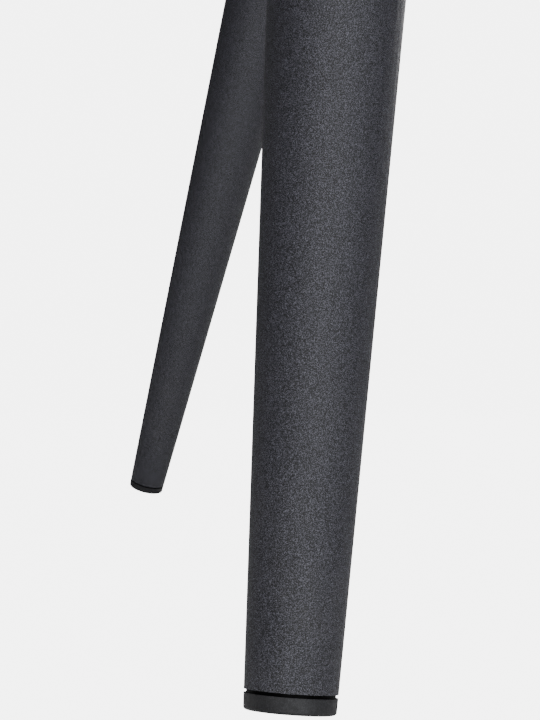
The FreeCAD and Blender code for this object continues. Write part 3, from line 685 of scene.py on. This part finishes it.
def swell(obj):
    """Blows the cover up over the foam while the seam and the board's edge hold it."""
    mesh = obj.data
    before = coordinates(mesh)
    held = obj.vertex_groups.new(name="held")
    grip = seam_distance(before) < SEAM_GRIP
    low = before[:, 2] < BOARD_LOW.z + BOARD_GRIP
    held.add([int(i) for i in np.nonzero(grip | low)[0]], 1.0, "REPLACE")
    cloth = obj.modifiers.new("swell", "CLOTH")
    cloth.settings.vertex_group_mass = "held"
    cloth.settings.use_pressure = True
    cloth.settings.uniform_pressure_force = PRESSURE
    cloth.settings.effector_weights.gravity = 0
    cloth.settings.quality = 5
    cloth.settings.mass = 0.3
    cloth.settings.tension_stiffness = 18
    cloth.settings.compression_stiffness = 18
    cloth.settings.bending_stiffness = 0.6
    cloth.collision_settings.use_collision = False
    for f in range(1, SETTLE_FRAMES + 1):
        bpy.context.scene.frame_set(f)
    apply_modifiers(obj)
    bpy.context.scene.frame_set(1)
    after = coordinates(obj.data)
    move = after - before
    length = np.linalg.norm(move, axis=1, keepdims=True)
    move *= np.minimum(1.0, SWELL_LIMIT / np.maximum(length, 1e-9))
    set_coordinates(obj.data, before + move)
    obj.vertex_groups.clear()


PUCKER_DEPTH = 0.42 * MM
PUCKER_REACH = 11 * MM         # from the seam
SEAM_BITE = 1.6 * MM           # how far the seam pulls into the foam
BITE_REACH = 4.2 * MM
SEAT_DIP = 1.8 * MM            # worn into the top by sitting
DIP_REACH = 85 * MM
DIP_AHEAD = 12 * MM            # of the swivel axis, towards the front leg
GATHER_START = 8 * MM          # above the board's underside


def gathers(points):
    """Puckers beside the seam, the pull where it bites into the foam, and the dip worn by sitting."""
    r = np.hypot(points[:, 0] - SWIVEL_X, points[:, 1] - SWIVEL_Y)
    angle = np.arctan2(points[:, 1] - SWIVEL_Y, points[:, 0] - SWIVEL_X)
    away = seam_distance(points)
    outward = np.stack([(points[:, 0] - SWIVEL_X) / np.maximum(r, 1e-6),
                        (points[:, 1] - SWIVEL_Y) / np.maximum(r, 1e-6), np.zeros(len(r))], 1)
    tilt = np.clip((points[:, 2] - BOARD_HIGH.z) / (FOAM_HIGH.z - BOARD_HIGH.z), 0, 1)[:, None]
    normal = outward * (1 - 0.6 * tilt) + np.array([0, 0, 1.0]) * tilt
    normal /= np.linalg.norm(normal, axis=1, keepdims=True)
    wave = np.sin(angle * 61 + 1.7 * np.sin(angle * 5))
    wave = wave + 0.6 * np.sin(angle * 97 + 2.3 * np.sin(angle * 3 + 1))
    wave = wave + 0.5 * np.sin(angle * 23 + 0.8)
    pucker = PUCKER_DEPTH * wave * np.exp(-away / PUCKER_REACH)
    bite = -SEAM_BITE * np.exp(-(away / BITE_REACH) ** 2)
    off_dip = (points[:, 0] - SWIVEL_X) ** 2 + (points[:, 1] - SWIVEL_Y + DIP_AHEAD) ** 2
    sit = -SEAT_DIP * np.exp(-off_dip / DIP_REACH ** 2) * tilt[:, 0] ** 4
    amount = np.where(points[:, 2] > BOARD_LOW.z + GATHER_START, pucker + bite + sit, 0)
    return points + normal * amount[:, None]


PLEATS = 44
PLEAT_DEPTH = 0.9 * MM
PLEAT_REACH = 20 * MM          # in from the board's rim, where a pleat has its full depth
PLEAT_SLOPE = 0.8              # of each pleat rises slowly, and the rest drops back


def pleat_lip(points):
    """Folds of the turned-in edge under the board."""
    r = np.hypot(points[:, 0] - SWIVEL_X, points[:, 1] - SWIVEL_Y)
    angle = np.arctan2(points[:, 1] - SWIVEL_Y, points[:, 0] - SWIVEL_X)
    under = points[:, 2] < BOARD_LOW.z - 0.5 * MM
    phase = (angle / TAU * PLEATS + 0.12 * np.sin(angle * 7)) % 1.0
    fold = np.where(phase < PLEAT_SLOPE, phase / PLEAT_SLOPE, (1 - phase) / (1 - PLEAT_SLOPE))
    depth = PLEAT_DEPTH * fold * np.clip((BOARD_RADIUS - r) / PLEAT_REACH, 0, 1)
    out = points.copy()
    out[:, 2] -= np.where(under, depth, 0)
    return out


BOARD_INSET = 2 * MM           # the canvas turns round a line this far inside the board's corner
CANVAS_OFF_BOARD = 1.4 * MM
CORNER_REACH = 5 * MM


def divide_board_edge(mesh):
    """Gives the canvas enough mesh to turn the board's lower corner."""
    bm = bmesh.new()
    bm.from_mesh(mesh)
    corner = Vector((BOARD_RADIUS, BOARD_LOW.z))

    def from_corner(v):
        return (Vector((from_axis(v.co), v.co.z)) - corner).length

    near = [e for e in bm.edges if min(from_corner(v) for v in e.verts) < CORNER_REACH]
    bmesh.ops.subdivide_edges(bm, edges=near, cuts=2, use_grid_fill=True)
    bm.to_mesh(mesh)
    bm.free()


def cover_board_edge(points):
    """Keeps the canvas a little off the board's rim and underside, and rounds it over the corner."""
    dx, dy = points[:, 0] - SWIVEL_X, points[:, 1] - SWIVEL_Y
    r, z = np.hypot(dx, dy), points[:, 2]
    core_r = np.minimum(r, BOARD_RADIUS - BOARD_INSET)
    core_z = np.clip(z, BOARD_LOW.z + BOARD_INSET, BOARD_HIGH.z)
    away = np.maximum(np.hypot(r - core_r, z - core_z), 1e-6)
    reach = np.where(z < BOARD_HIGH.z + 1 * MM, np.maximum(away, BOARD_INSET + CANVAS_OFF_BOARD), away)
    new_r = core_r + (r - core_r) / away * reach
    new_z = core_z + (z - core_z) / away * reach
    scale = new_r / np.maximum(r, 1e-6)
    return np.stack([SWIVEL_X + dx * scale, SWIVEL_Y + dy * scale, new_z], 1)


def seat_upholstery():
    """The canvas cover as one padded form, open underneath inside the turned-in lip."""
    verts, faces = lathe(cushion_profile(), LATHE_SIDES)
    obj = new_object("seat_cover", verts, faces, CANVAS_TOP)
    bm = bmesh.new()
    bm.from_mesh(obj.data)
    bmesh.ops.remove_doubles(bm, verts=bm.verts, dist=1e-5)
    bmesh.ops.recalc_face_normals(bm, faces=bm.faces)
    bm.to_mesh(obj.data)
    bm.free()
    remesh = obj.modifiers.new("even mesh", "REMESH")
    remesh.mode = "VOXEL"
    remesh.voxel_size = VOXEL
    apply_modifiers(obj)
    swell(obj)
    soften = obj.modifiers.new("soften", "SMOOTH")
    soften.factor = 0.5
    soften.iterations = 4
    divide = obj.modifiers.new("divide", "SUBSURF")
    divide.levels = 1
    divide.render_levels = 1
    apply_modifiers(obj)
    divide_board_edge(obj.data)
    points = pleat_lip(cover_board_edge(gathers(coordinates(obj.data))))
    set_coordinates(obj.data, points)
    bm = bmesh.new()
    bm.from_mesh(obj.data)
    inner = BOARD_RADIUS - LIP_WIDTH
    inside = [f for f in bm.faces if f.calc_center_median().z < BOARD_LOW.z + LIP_DEPTH
              and from_axis(f.calc_center_median()) < inner]
    bmesh.ops.delete(bm, geom=inside, context="FACES")
    bm.to_mesh(obj.data)
    bm.free()
    obj.data.materials.clear()
    obj.data.materials.append(CANVAS_TOP)
    obj.data.materials.append(CANVAS_BAND)
    for polygon in obj.data.polygons:
        center = polygon.center
        on_band = center.z < WELT_LEVEL and from_axis(center) > BOARD_RADIUS - BAND_DEPTH
        polygon.material_index = 1 if on_band else 0
    smooth(obj)
    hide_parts("cover_top", "cover_band", "seat_foam")
    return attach(obj, "seat")


def surface_tree(obj):
    mesh = obj.data
    return BVHTree.FromPolygons([v.co for v in mesh.vertices], [p.vertices for p in mesh.polygons])


SEAM_SEARCH = 25 * MM          # the search for the seam starts this far outside the shoulder
WELT_PROUD = 0.45              # of its radius, the welt's centre stands outside the cover
WELT_EVENING = 7               # neighbours either side that even out the welt's line


def welt_line(cover, rounds):
    """The welt's centreline: nested in the cover's seam all the way round."""
    tree = surface_tree(cover)
    shoulder = Vector((BOARD_RADIUS - FOAM_SHOULDER, SHOULDER_LEVEL - FOAM_SHOULDER))
    out = (Vector((WELT_CIRCLE, WELT_LEVEL)) - shoulder).normalized()
    start = shoulder + out * (FOAM_SHOULDER + SEAM_SEARCH)
    reach = []
    for i in range(rounds):
        a = TAU * i / rounds
        above = Vector(on_circle(start.x, a, start.y))
        inward = -Vector((out.x * math.cos(a), out.x * math.sin(a), out.y))
        spot, _, _, distance = tree.ray_cast(above, inward)
        reach.append(FOAM_SHOULDER + SEAM_SEARCH - distance if spot else FOAM_SHOULDER)
    line = []
    for i in range(rounds):
        near = [reach[(i + k) % rounds] for k in range(-WELT_EVENING, WELT_EVENING + 1)]
        line.append(shoulder + out * (sum(near) / len(near) + WELT_RADIUS * WELT_PROUD))
    return line


def welt_cord(cover):
    """Covered cord in the seam, a little uneven as sewn cord is, with its join lapped at the back."""
    rounds, sides = 360, 14
    line = welt_line(cover, rounds)
    verts = []
    for i in range(rounds):
        a = TAU * i / rounds
        uneven = 1 + 0.035 * math.sin(a * 31 + 1.1 * math.sin(a * 4)) + 0.02 * math.sin(a * 77)
        lap = 0.10 * math.exp(-((a - TAU / 4) / 0.035) ** 2)
        section = WELT_RADIUS * (uneven * 0.93 + lap)
        for k in range(sides):
            b = TAU * k / sides
            r = line[i].x + section * math.cos(b)
            verts.append(on_circle(r, a, line[i].y + section * math.sin(b)))
    faces = tube_faces(rounds, sides, closed=True)
    obj = smooth(new_object("welt_cord", verts, faces, WELT_CANVAS))
    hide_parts("seat_welt")
    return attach(obj, "seat")


def stitch_mesh(length, radius):
    """One thread stitch: a short tube that dives into the cloth at both ends."""
    verts = []
    stations, sides = 7, 6
    for i in range(stations):
        t = i / (stations - 1)
        lift = math.sin(math.pi * t) ** 0.5 * radius * 1.3 - radius * 0.9
        width = radius * (0.55 + 0.45 * math.sin(math.pi * t))
        for k in range(sides):
            b = TAU * k / sides
            verts.append(Vector(((t - 0.5) * length, width * math.cos(b), lift + width * math.sin(b))))
    faces = tube_faces(stations, sides, closed=False)
    faces.append(tuple(range(sides))[::-1])
    faces.append(tuple((stations - 1) * sides + k for k in range(sides)))
    return verts, faces


STITCH_INSET = 12 * MM         # from the welt to the row
STITCH_SEARCH = 0.1            # the search for the cloth starts this far above the foam
STITCH_PITCH = 4.4 * MM
STITCH_LENGTH = 3.5 * MM
THREAD_RADIUS = 0.3 * MM


def top_stitching(cover):
    """A row of stitches on the top panel, beside the welt."""
    row = WELT_CIRCLE - STITCH_INSET
    count = round(TAU * row / STITCH_PITCH)
    tree = surface_tree(cover)
    one_verts, one_faces = stitch_mesh(STITCH_LENGTH, THREAD_RADIUS)
    verts, faces = [], []
    for i in range(count):
        a = TAU * i / count
        above = Vector(on_circle(row, a, FOAM_HIGH.z + STITCH_SEARCH))
        spot, normal, _, _ = tree.ray_cast(above, Vector((0, 0, -1)))
        if spot is None:
            continue
        along = Vector((-math.sin(a), math.cos(a), 0.04 * math.sin(a * 19)))
        along = (along - normal * along.dot(normal)).normalized()
        side = normal.cross(along)
        turn = Matrix((along, side, normal)).transposed()
        base = len(verts)
        verts += [spot + turn @ v for v in one_verts]
        faces += [tuple(base + n for n in f) for f in one_faces]
    obj = smooth(new_object("top_stitching", verts, faces, THREAD))
    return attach(obj, "seat")


FELT_HOLE_RADIUS = 78 * MM     # round the swivel
STAPLE_COUNT = 28
STAPLE_INSET = 0.6 * MM        # of a staple's middle from its outer side
FELT_SCALLOP = 0.8 * MM        # the felt's edge draws in this much between staples
FELT_SLACK = 0.5 * MM          # between staples
FELT_SAG = 0.8 * MM            # between the staples and the hole
STAPLE_REACH = 16 * MM         # the slack beside the staples fades over this
SAG_SHARE = 0.6                # of slack and sag that the felt shows


def dust_felt():
    """The thin cloth under the board, drawn in at each staple and slack between them."""
    low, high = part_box("dust_cloth")
    outer = (high.x - low.x) / 2
    inner = FELT_HOLE_RADIUS
    staple_low, staple_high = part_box("staples")
    staple_circle = (staple_high.x - staple_low.x) / 2 - STAPLE_INSET
    top, bottom = high.z, low.z
    rings, sides = 22, 336
    verts, faces = [], []
    for layer in (0, 1):
        for k in range(rings + 1):
            r = inner + (outer - inner) * k / rings
            for i in range(sides):
                a = TAU * i / sides
                drawn_in = FELT_SCALLOP * (1 - abs(math.cos(a * STAPLE_COUNT / 2)))
                edge = outer - drawn_in if k == rings else r
                slack = 0.5 * (1 - math.cos(a * STAPLE_COUNT))
                sag = FELT_SLACK * slack * math.exp(-((r - staple_circle) / STAPLE_REACH) ** 2)
                sag += FELT_SAG * math.sin(math.pi * k / rings) ** 2 * (1 + 0.4 * math.sin(a * 5 + r * 60))
                z = (top if layer == 0 else bottom) - sag * SAG_SHARE
                verts.append(on_circle(edge, a, z))
    per = (rings + 1) * sides
    for layer in (0, 1):
        for k in range(rings):
            for i in range(sides):
                j = (i + 1) % sides
                f = [layer * per + k * sides + i, layer * per + k * sides + j,
                     layer * per + (k + 1) * sides + j, layer * per + (k + 1) * sides + i]
                faces.append(tuple(f) if layer else tuple(reversed(f)))
    for k in (0, rings):
        for i in range(sides):
            j = (i + 1) % sides
            f = [k * sides + i, k * sides + j, per + k * sides + j, per + k * sides + i]
            faces.append(tuple(f) if k else tuple(reversed(f)))
    obj = smooth(new_object("dust_felt", verts, faces, FELT))
    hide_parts("dust_cloth")
    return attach(obj, "seat")


cover = seat_upholstery()
welt_cord(cover)
top_stitching(cover)
dust_felt()


# ---- Floor and light ----------------------------------------------------------------------------
FLOOR_GLOW = 7.0               # how bright the floor is where the camera sees it
FLOOR_GLOW_SHARE = 0.8         # the rest of it takes light and shadow
ROOM_LIGHT = 0.06
FLOOR_REACH = 6.0              # to each side, to the front and up
SWEEP_START = 2.0              # behind the axis, where the floor begins to curve up
SWEEP_RADIUS = 1.5


def studio():
    mesh_points, faces = [], []
    steps = 24
    profile = [(-FLOOR_REACH, 0.0), (SWEEP_START, 0.0)]
    for i in range(1, steps + 1):
        t = TAU / 4 * i / steps
        profile.append((SWEEP_START + SWEEP_RADIUS * math.sin(t), SWEEP_RADIUS * (1 - math.cos(t))))
    profile.append((SWEEP_START + SWEEP_RADIUS, FLOOR_REACH))
    for along, up in profile:
        for side in (-FLOOR_REACH, FLOOR_REACH):
            p = CAMERA_RIGHT * side + CAMERA_AHEAD * along
            mesh_points.append((p.x, p.y, up))
    for k in range(len(profile) - 1):
        faces.append((2 * k, 2 * k + 1, 2 * k + 3, 2 * k + 2))
    material, g, shader = new_material("pale floor")
    where = g.place()
    cloud = g.noise(where, 3.0, 3.0, 0.5)
    g.feed(shader, "Base Color", g.mix(cloud, rgb(0.9, 0.9, 0.9), rgb(0.93, 0.93, 0.93)))
    shader.inputs["Roughness"].default_value = 0.9
    shader.inputs["Specular IOR Level"].default_value = 0.2
    glow = g.add("Emission", Strength=FLOOR_GLOW)
    both = g.add("MixShader")
    seen = g.math("MULTIPLY", g.add("LightPath").outputs["Is Camera Ray"], FLOOR_GLOW_SHARE)
    g.feed(both, "0", seen)
    g.tree.links.new(shader.outputs[0], both.inputs[1])
    g.tree.links.new(glow.outputs[0], both.inputs[2])
    output = [n for n in g.tree.nodes if n.bl_idname == "ShaderNodeOutputMaterial"][0]
    g.tree.links.new(both.outputs[0], output.inputs[0])
    floor = smooth(new_object("floor_sweep", mesh_points, faces, material))


def area_light(name, place, aim, size, power, color):
    data = bpy.data.lights.new(name, "AREA")
    data.shape = "RECTANGLE"
    data.size, data.size_y = size
    data.energy = power
    data.color = color
    light = bpy.data.objects.new(name, data)
    light.location = place
    light.rotation_euler = (Vector(aim) - Vector(place)).to_track_quat("-Z", "Y").to_euler()
    bpy.context.scene.collection.objects.link(light)


def lights():
    world = bpy.data.worlds.new("studio")
    world.use_nodes = True
    world.node_tree.nodes.clear()
    g = Graph(world.node_tree)
    soft = g.add("Background", Color=rgb(1, 1, 1), Strength=ROOM_LIGHT)
    seen = g.add("Background", Color=rgb(1, 1, 1), Strength=FLOOR_GLOW * FLOOR_GLOW_SHARE)
    both = g.add("MixShader")
    g.feed(both, "0", g.add("LightPath").outputs["Is Camera Ray"])
    g.tree.links.new(soft.outputs[0], both.inputs[1])
    g.tree.links.new(seen.outputs[0], both.inputs[2])
    g.tree.links.new(both.outputs[0], g.add("OutputWorld").inputs[0])
    bpy.context.scene.world = world
    middle = Vector((FRONT_SOLE.x, FRONT_SOLE.y, 0.2))

    def softbox(name, turn, rise, distance, size, power, color):
        """A panel seen from the front leg at a heading from the camera's, in degrees, and a rise."""
        turn, rise = math.radians(turn), math.radians(rise)
        level = CAMERA_RIGHT * math.sin(turn) - CAMERA_AHEAD * math.cos(turn)
        place = middle + (level * math.cos(rise) + Vector((0, 0, math.sin(rise)))) * distance
        area_light(name, place, middle, size, power, color)

    softbox("key", 30, 12, 1.5, (0.4, 1.3), 12, (0.94, 0.97, 1.0))
    softbox("fill", -8, 8, 1.7, (0.6, 1.3), 13, (0.97, 0.97, 1.0))
    softbox("top", 20, 70, 1.6, (1.1, 1.1), 10, (1.0, 1.0, 1.0))
    softbox("behind", 155, 25, 1.8, (1.0, 0.9), 14, (1.0, 1.0, 1.0))


studio()
lights()
